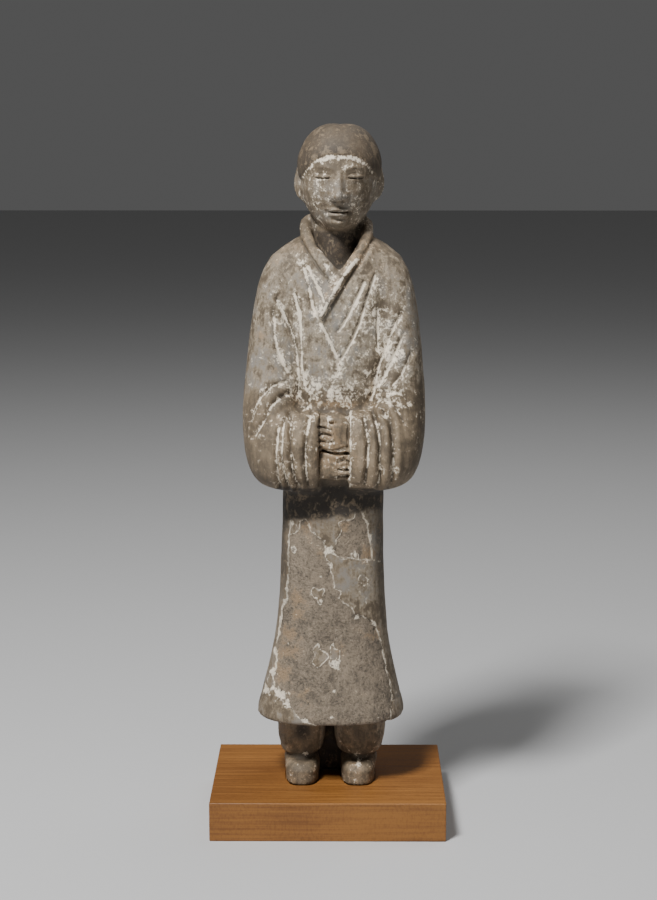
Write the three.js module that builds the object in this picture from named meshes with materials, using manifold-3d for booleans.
// A standing clay tomb attendant on its wooden display base.
// Units are millimetres, +Z is up and the figure looks along -Y.
// The origin is the middle of the base's underside.
import * as THREE from "three";
import { mergeVertices } from "three/addons/utils/BufferGeometryUtils.js";
import Module from "manifold-3d";

// Driving dimensions
const BASE = { width: 194.5, depth: 160, height: 32.5 };
const SOCKET = { depth: 1.2, gap: 0.5 };
const SOLE_GAP = 0.3;
const FIGURE_HEIGHT = 550;
const LEAN = { foot: 1.7, crown: 7.9, bend: 1.2 };

const HEM = 55;
const SLEEVE_TOP = 319;
const SLEEVE_FOOT = 252;
const CUFF = 12.5;
const FIST_JOINT = 285.5;

// The robe's trunk from the hem up: height, half width, reach to the front, reach to the back.
const ROBE_SQUARENESS = 2.3;
const ROBE = [
  [HEM, 61, 47, 50],
  [HEM + 5, 62.3, 48, 51],
  [83, 56.2, 42.5, 45.5],
  [112, 50, 37.5, 41],
  [140, 45.8, 34.5, 38],
  [198, 43, 32.5, 35.5],
  [262, 42.5, 33.5, 35.5],
  [330, 46, 36, 36.5],
  [385, 51, 37, 38],
  [420, 52, 34.5, 37],
  [436, 47.5, 31, 35],
  [449, 39, 27, 31.5],
  [460, 27.5, 22.5, 27],
  [467, 21, 18, 23],
];
const HEM_HOLLOW = 5;

// One arm from the shoulder to the cuff, each row a slice through it: the slice's inner and outer edge, as
// distance from the body's middle and height, then the middle and half of its depth.
const ARM_SQUARENESS = 2.3;
const ARM = [
  { inner: [18, 428], outer: [30, 458.5], middle: 3, depth: 20 },
  { inner: [23, 422], outer: [51.5, 444.5], middle: 2, depth: 24 },
  { inner: [26, 412], outer: [62, 425], middle: 1, depth: 26.5 },
  { inner: [27.5, 394], outer: [68.3, 396], middle: 0, depth: 28.5 },
  { inner: [28, 364], outer: [72, 364], middle: -3, depth: 30.5 },
  { inner: [29, 338], outer: [75, 330], middle: -7, depth: 32.5 },
  { inner: [28.5, 324], outer: [75, 293], middle: -15, depth: 33 },
  { inner: [27, 321], outer: [65.5, 261], middle: -23, depth: 31.5 },
  { inner: [24, SLEEVE_TOP], outer: [43, 252], middle: -30, depth: 27.5 },
  { inner: [19.5, SLEEVE_TOP], outer: [24, SLEEVE_FOOT], middle: -34.5, depth: 23.5 },
  { inner: [CUFF, SLEEVE_TOP - 1], outer: [CUFF, SLEEVE_FOOT + 2], middle: -36.5, depth: 20.5 },
];

// Lines carved into the front of the robe, each as places across the body and up it.
const FOLD = { radius: 2, sink: 1.5 };
const CHEST_FOLDS = [
  [[-27.3, 438.2], [-22.7, 422.1], [-18.2, 403.8], [-11.5, 388.7], [-4.8, 375.9], [1.9, 361.9]],
  [[-24, 437.4], [-18.4, 426.6], [-11.8, 412.7], [-9.5, 407.5]],
  [[24.9, 425.4], [17.5, 410.5], [10.2, 395.5], [1.6, 380.6]],
  [[33.5, 431.8], [26.3, 410.3], [21, 393.2], [14.8, 378], [6.3, 361.9]],
];
const ARM_FOLDS = [
  [[-50.6, 402.8], [-48.3, 375.6], [-42.7, 359.2], [-33.9, 344.9]],
  [[54.9, 376.3], [45.5, 356.7], [36.1, 337]],
  [[64, 367.7], [54.5, 348]],
];
const SLEEVE_FOLDS = [
  [[-18.5, 319], [-22, 301], [-22.5, 282.2], [-20.5, 257]],
  [[-35.5, 319], [-34.5, 288.9], [-32.5, 270.6], [-28.5, 258]],
  [[-39.4, 314], [-41.4, 292.4], [-40.1, 274.1], [-36.5, 259]],
  [[-43.8, 308.8], [-46.1, 288.4], [-45.3, 270.1]],
  [[-36.9, 333.5], [-44.2, 329.5], [-51.5, 321.9], [-56.5, 311.3], [-61, 304.4], [-64.5, 297.5]],
  [[-41.5, 341.8], [-49.5, 339.3], [-56, 333.8], [-62.6, 326.4], [-67, 314.8]],
  [[24.5, 316.9], [27.6, 300.1], [27.9, 281.8], [25.5, 260]],
  [[31, 319], [35.4, 308.1], [37.8, 296.3], [37.3, 281.7], [38, 267.2], [35.5, 259]],
  [[37.5, 320], [44.8, 313.1], [48, 299.2], [49, 280.9], [47, 265]],
  [[33.1, 326], [38.8, 327.7], [46.2, 325], [53.6, 317.4], [58.3, 308.3]],
  [[35.2, 332], [41.7, 334.8], [50.5, 334.2], [57.9, 329.4], [61.4, 323.9]],
];

// The head: skull radii, its middle, and the hair that caps it.
const SKULL = { width: 34.5, depth: 38, middle: [1.6, -2, 507], cheek: 0.09 };
SKULL.rise = FIGURE_HEIGHT - SKULL.middle[2];
SKULL.drop = 46;
const HAIR = { thickness: 1.4, brow: 18, fall: 15, temple: 29, nape: -24, parting: 0.8 };
const CROWN_FULLNESS = 2.7;
const JAW = { narrowing: 0.22, fullness: 2.7 };
const EAR = { out: 32, back: 3, height: 500, radii: [3.4, 7.5, 13.5] };
const NECK = { radius: 17.5, foot: 424, top: 488, lean: 1 };

// The collar's two bands, from the middle of the nape down to where they cross and end on the chest.
// The neck's opening lies between them.
const COLLAR = { width: 5.4, thickness: 4.8 };
const OPENING = { top: 482, back: 2, front: -60 };
const COLLAR_RIGHT = [
  [0, 22, 471],
  [18, 16, 471],
  [26.3, -1, 465.5],
  [21.2, -17, 450],
  [11.4, -27.5, 435.5],
  [2.4, -33.5, 422],
  [-6, -36, 408.5],
  [-12.5, -36.5, 395],
];
const COLLAR_LEFT = [
  [0, 22, 471],
  [-18, 16, 472],
  [-26, -1, 466.5],
  [-20.6, -18, 452],
  [-10.2, -26.5, 438.3],
  [0, -30.5, 428],
];

const FIST = { width: 13.4, depth: 17, front: -53, squareness: 3.6, fingers: 3, groove: 1.3 };
const LEG = { out: 24.6, squareness: 2.4, back: 1 };
const LEG_ROWS = [
  [8, 12.5],
  [17, 14],
  [22, 15.8],
  [31, 19.6],
  [42, 21],
  [66, 20.5],
];
const SHOE = { out: 23.6, width: 14.6, toe: -34, heel: 33, height: 20.5, squareness: 3 };

// The clay left between the legs, set back in the hem's shade: half width, reach to the back, foot and top.
const WEB = { half: 17, front: 5, back: 15, foot: 0.8, top: HEM + 8 };

const GREY_CLAY = new THREE.MeshStandardMaterial({ color: 0x857a6b, roughness: 0.95, metalness: 0 });
const MAPLE = new THREE.MeshStandardMaterial({ color: 0xa8692c, roughness: 0.5, metalness: 0 });

const wasm = await Module();
wasm.setup();

// Solids and curves

// A closed geometry as a solid that can be joined and cut.
function solidOf(geometry) {
  const bare = geometry.clone();
  bare.deleteAttribute("normal");
  bare.deleteAttribute("uv");
  const merged = mergeVertices(bare, 1e-3);
  return new wasm.Manifold(
    new wasm.Mesh({
      numProp: 3,
      vertProperties: new Float32Array(merged.getAttribute("position").array),
      triVerts: new Uint32Array(merged.index.array),
    }),
  );
}

function geometryOf(solid) {
  const mesh = solid.getMesh();
  const geometry = new THREE.BufferGeometry();
  geometry.setAttribute("position", new THREE.BufferAttribute(mesh.vertProperties, mesh.numProp));
  geometry.setIndex(new THREE.BufferAttribute(mesh.triVerts, 1));
  geometry.computeVertexNormals();
  return geometry;
}

// Moves each vertex of a closed cylinder or sphere of radius 1 to place(turn, y, out). turn is the angle
// round the form, 0 at the front. y is the height, -0.5 to 0.5 on a cylinder and -1 to 1 on a sphere. out is
// the distance from the axis, 1 on a cylinder's wall.
function mould(geometry, place) {
  const position = geometry.getAttribute("position");
  const point = new THREE.Vector3();
  for (let i = 0; i < position.count; i++) {
    point.fromBufferAttribute(position, i);
    const out = Math.hypot(point.x, point.z);
    const turn = out > 1e-6 ? Math.atan2(point.x, point.z) : 0;
    position.setXYZ(i, ...place(turn, point.y, out));
  }
  return solidOf(geometry);
}

const cylinder = (around, rows) => new THREE.CylinderGeometry(1, 1, 1, around, rows);
const sphere = (around, rows) => new THREE.SphereGeometry(1, around, rows);

// A smooth curve through rows of numbers, read at share 0 to 1 along the list.
function through(rows) {
  const curves = rows[0].map((_, column) => {
    const points = rows.map((row, i) => new THREE.Vector2(i, row[column]));
    return new THREE.SplineCurve(points);
  });
  return (share) => curves.map((curve) => curve.getPoint(share).y);
}

// A sine or cosine drawn out to a fuller, squarer curve.
const full = (value, squareness) => Math.sign(value) * Math.abs(value) ** (2 / squareness);
const bump = (distance, width) => Math.exp(-((distance / width) ** 2));
const clamp = THREE.MathUtils.clamp;
const smoothstep = THREE.MathUtils.smoothstep;

// Packs more of a ring's points onto the front, where the carving is.
const frontward = (turn, pull) => turn - pull * Math.sin(turn);

// The robe

function trunk() {
  const profile = through(ROBE);
  return mould(cylinder(32, 21), (turn, y, out) => {
    const [height, width, front, back] = profile(y + 0.5);
    const angle = frontward(turn, 0.15);
    const sine = full(Math.sin(angle), ROBE_SQUARENESS);
    const cosine = full(Math.cos(angle), ROBE_SQUARENESS);
    const reach = cosine > 0 ? front : back;
    const hollow = y < -0.49 ? HEM_HOLLOW * (1 - out) : 0;
    return [out * width * sine, -out * reach * cosine, height + hollow];
  });
}

function arm(side) {
  const slices = through(ARM.map(({ inner, outer, middle, depth }) => [...inner, ...outer, middle, depth]));
  return mould(cylinder(24, 18), (turn, y, out) => {
    const [innerX, innerZ, outerX, outerZ, middle, depth] = slices(y + 0.5);
    const sine = out * full(Math.sin(turn), ARM_SQUARENESS);
    const cosine = out * full(Math.cos(turn), ARM_SQUARENESS);
    const x = (innerX + outerX) / 2 + (sine * (outerX - innerX)) / 2;
    const z = (innerZ + outerZ) / 2 + (sine * (outerZ - innerZ)) / 2;
    return [side * x, middle + side * cosine * depth, z];
  });
}

// A round of constant size along a route, closed at both ends.
function rod(points, radiusX, radiusY, steps, sides) {
  const path = new THREE.CatmullRomCurve3(points);
  const section = new THREE.Shape();
  section.absellipse(0, 0, radiusX, radiusY, 0, 2 * Math.PI);
  const options = { steps, extrudePath: path, curveSegments: sides, bevelEnabled: false };
  return solidOf(new THREE.ExtrudeGeometry(section, options));
}

// Cuts a fold line into the front of a solid, following its surface.
function carve(solid, routes) {
  const surface = new THREE.Mesh(geometryOf(solid), new THREE.MeshBasicMaterial());
  const ray = new THREE.Raycaster();
  const along = new THREE.Vector3(0, 1, 0);
  let carved = solid;
  for (const route of routes) {
    const line = new THREE.CatmullRomCurve3(route.map(([x, z]) => new THREE.Vector3(x, 0, z)));
    const points = line.getSpacedPoints(route.length).map(({ x, z }) => {
      ray.set(new THREE.Vector3(x, -200, z), along);
      const [hit] = ray.intersectObject(surface);
      return hit.point.add(new THREE.Vector3(0, FOLD.sink - FOLD.radius, 0));
    });
    carved = carved.subtract(rod(points, FOLD.radius, FOLD.radius, route.length, 2));
  }
  return carved;
}

function collarBand(route) {
  const points = route.map((point) => new THREE.Vector3(...point));
  return rod(points, COLLAR.width, COLLAR.thickness, 11, 5);
}

// The room around the neck: a V between the bands in front, and a round hollow inside the standing collar.
function neckOpening() {
  const edge = (route) => route.slice(2).map(([x, , z]) => new THREE.Vector2(x, z));
  const left = edge(COLLAR_LEFT);
  const right = edge(COLLAR_RIGHT).slice(0, 3).reverse();
  const outline = new THREE.Shape();
  outline.moveTo(left[0].x, OPENING.top);
  outline.lineTo(left[0].x, left[0].y);
  outline.splineThru(left.slice(1));
  outline.splineThru(right);
  outline.lineTo(right.at(-1).x, OPENING.top);
  const options = { depth: OPENING.back - OPENING.front, curveSegments: 2, bevelEnabled: false };
  const wedge = new THREE.ExtrudeGeometry(outline, options);
  wedge.rotateX(Math.PI / 2);
  wedge.translate(0, OPENING.back, 0);
  const hollow = mould(sphere(14, 6), (turn, y, out) => [
    out * 22.5 * Math.sin(turn),
    -4 - out * 24 * Math.cos(turn),
    474 + 32 * y,
  ]);
  return solidOf(wedge).add(hollow);
}

function handSlot() {
  const slot = new THREE.BoxGeometry(2 * CUFF, 40, SLEEVE_TOP + 14 - 236);
  slot.translate(0, -56, (SLEEVE_TOP + 14 + 236) / 2);
  return solidOf(slot);
}

// Fists, head and legs

// A closed hand between two heights, whose fingers are cut in on one side.
function fist(low, high, fingerSide) {
  const middle = (low + high) / 2;
  return mould(sphere(16, 10), (turn, y, out) => {
    const width = FIST.width * full(Math.sin(turn) * out, FIST.squareness);
    const height = ((high - low) / 2) * full(y, FIST.squareness);
    const share = clamp((height / (high - low) + 0.5) * FIST.fingers, 0, FIST.fingers);
    const groove = Math.abs(Math.cos(Math.PI * share)) ** 6;
    const fingers = smoothstep(fingerSide * width, -4, 5) * FIST.groove * groove;
    const depth = FIST.depth * full(Math.cos(turn) * out, FIST.squareness);
    const front = depth > 0 ? depth - fingers * (depth / FIST.depth) : depth;
    return [width, FIST.front + FIST.depth - front, middle + height];
  });
}

// The face's own relief in front of the skull, at a place across it and above its middle.
function faceRelief(x, z) {
  const aside = Math.abs(x);
  const brow = 1 * bump(aside - 12, 9) * bump(z - 6, 4);
  const socket = -1.8 * bump(aside - 13.5, 7) * bump(z, 4.4);
  const cheek = 1.2 * bump(aside - 17, 8) * bump(z + 13, 8);
  const bridge = clamp((4 - z) / 19, 0, 1);
  const noseEnds = smoothstep(-z, -7, 0) * smoothstep(z, -22, -15);
  const nose = (1.5 + 6 * bridge) * bump(x, 3.6 + 2.8 * bridge) * noseEnds;
  const lips = 1.8 * bump(x, 8.5) * bump(z + 26.5, 3.6);
  const chin = 2.2 * bump(x, 8.5) * bump(z + 39, 5);
  return brow + socket + cheek + nose + lips + chin;
}

function head() {
  const [middleX, middleY, middleZ] = SKULL.middle;
  return mould(sphere(32, 25), (turn, y, out) => {
    const angle = frontward(turn, 0.32);
    const z = (y > 0 ? SKULL.rise : SKULL.drop) * y;
    const below = clamp(-y, 0, 1);
    const narrow = 1 - SKULL.cheek * smoothstep(-z, -14, 6) - JAW.narrowing * below ** 2.4;
    const shape = full(out, THREE.MathUtils.lerp(CROWN_FULLNESS, JAW.fullness, below));
    const x = SKULL.width * narrow * shape * Math.sin(angle);
    const facing = Math.cos(angle);
    const reach = SKULL.depth * (facing > 0 ? 1 - 0.1 * below : 1 - 0.4 * below ** 2);
    let front = reach * shape * facing;
    const hairline = facing > 0 ? HAIR.brow - HAIR.fall * (Math.abs(x) / HAIR.temple) ** 3 : HAIR.nape;
    const hair = HAIR.thickness * smoothstep(z - hairline, -2.5, 2.5);
    const grown = 1 + hair / SKULL.depth;
    if (facing > 0) front += faceRelief(x, z) * smoothstep(facing, 0.2, 0.6) * out ** 0.5;
    const parting = HAIR.parting * bump(x, 4) * smoothstep(z, 16, 32);
    return [middleX + x * grown, middleY - front * grown, middleZ + z - parting];
  });
}

function ear(side) {
  const [thick, wide, tall] = EAR.radii;
  return mould(sphere(10, 8), (turn, y, out) => {
    const flare = 2.2 * smoothstep(-Math.cos(turn) * out, -1, 1);
    const tuck = 3 * clamp(-y, 0, 1);
    return [
      SKULL.middle[0] + side * (EAR.out + flare - tuck) + thick * out * Math.sin(turn),
      EAR.back - wide * out * Math.cos(turn) - 2 * y,
      EAR.height + tall * y,
    ];
  });
}

function neck() {
  const height = NECK.top - NECK.foot;
  return mould(cylinder(18, 1), (turn, y, out) => [
    out * NECK.radius * Math.sin(turn),
    NECK.lean - out * NECK.radius * Math.cos(turn),
    NECK.foot + height * (y + 0.5),
  ]);
}

function leg(side, girth) {
  const profile = through(LEG_ROWS);
  return mould(cylinder(16, 6), (turn, y, out) => {
    const [height, share] = profile(y + 0.5);
    const radius = share * girth;
    const x = out * radius * full(Math.sin(turn), LEG.squareness);
    return [side * LEG.out + x, LEG.back - out * radius * full(Math.cos(turn), LEG.squareness), height];
  });
}

// A shoe's outline at a turn, drawn out by a margin.
function solePoint(turn, margin) {
  const length = (SHOE.heel - SHOE.toe) / 2 + margin;
  const x = (SHOE.width + margin) * full(Math.sin(turn), SHOE.squareness);
  return [x, (SHOE.heel + SHOE.toe) / 2 - length * full(Math.cos(turn), SHOE.squareness)];
}

function shoe(side) {
  const sole = -SOCKET.depth + SOLE_GAP;
  return mould(sphere(16, 8), (turn, y, out) => {
    const [x, outward] = solePoint(turn, 0);
    const spread = full(out, y > 0 ? SHOE.squareness : 2);
    const height = y > 0 ? (SHOE.height - sole) * full(y, SHOE.squareness) : 0;
    return [side * SHOE.out + x * spread, outward * spread, sole + height];
  });
}

function legWeb() {
  const block = new THREE.BoxGeometry(2 * WEB.half, WEB.back - WEB.front, WEB.top - WEB.foot);
  block.translate(0, (WEB.front + WEB.back) / 2, (WEB.foot + WEB.top) / 2);
  return solidOf(block);
}

// The whole figure as one fired piece, standing on the base and leaning a little to its left.
function figure() {
  const robe = trunk().add(arm(-1)).add(arm(1));
  let solid = carve(robe, [...CHEST_FOLDS, ...ARM_FOLDS, ...SLEEVE_FOLDS])
    .subtract(handSlot())
    .subtract(neckOpening())
    .add(collarBand(COLLAR_LEFT))
    .add(collarBand(COLLAR_RIGHT));
  const additions = [
    fist(FIST_JOINT, SLEEVE_TOP - 2, -1),
    fist(SLEEVE_FOOT + 10.5, FIST_JOINT + 0.6, 1),
    neck(),
    head(),
    ear(-1),
    ear(1),
    leg(-1, 0.98),
    leg(1, 1.06),
    legWeb(),
    shoe(-1),
    shoe(1),
  ];
  for (const piece of additions) solid = solid.add(piece);
  const geometry = geometryOf(solid);
  const position = geometry.getAttribute("position");
  for (let i = 0; i < position.count; i++) {
    const share = clamp(position.getZ(i) / FIGURE_HEIGHT, 0, 1);
    position.setX(i, position.getX(i) + LEAN.foot + (LEAN.crown - LEAN.foot) * share ** LEAN.bend);
  }
  geometry.computeVertexNormals();
  const mesh = new THREE.Mesh(geometry, GREY_CLAY);
  mesh.name = "clay_figure";
  mesh.position.z = BASE.height;
  return mesh;
}

// A plain wooden block with a shallow socket for each shoe.
function base() {
  const block = new THREE.BoxGeometry(BASE.width, BASE.depth, BASE.height);
  block.translate(0, 0, BASE.height / 2);
  let solid = solidOf(block);
  for (const side of [-1, 1]) {
    const outline = Array.from({ length: 32 }, (_, i) => {
      const [x, y] = solePoint((2 * Math.PI * i) / 32, SOCKET.gap);
      return new THREE.Vector2(side * SHOE.out + LEAN.foot + x, y);
    });
    const options = { depth: 2 * SOCKET.depth, bevelEnabled: false };
    const socket = new THREE.ExtrudeGeometry(new THREE.Shape(outline), options);
    socket.translate(0, 0, BASE.height - SOCKET.depth);
    solid = solid.subtract(solidOf(socket));
  }
  const mesh = new THREE.Mesh(geometryOf(solid), MAPLE);
  mesh.name = "wooden_base";
  return mesh;
}

const figurine = new THREE.Group();
figurine.name = "tomb_attendant";
figurine.add(base(), figure());

export default figurine;
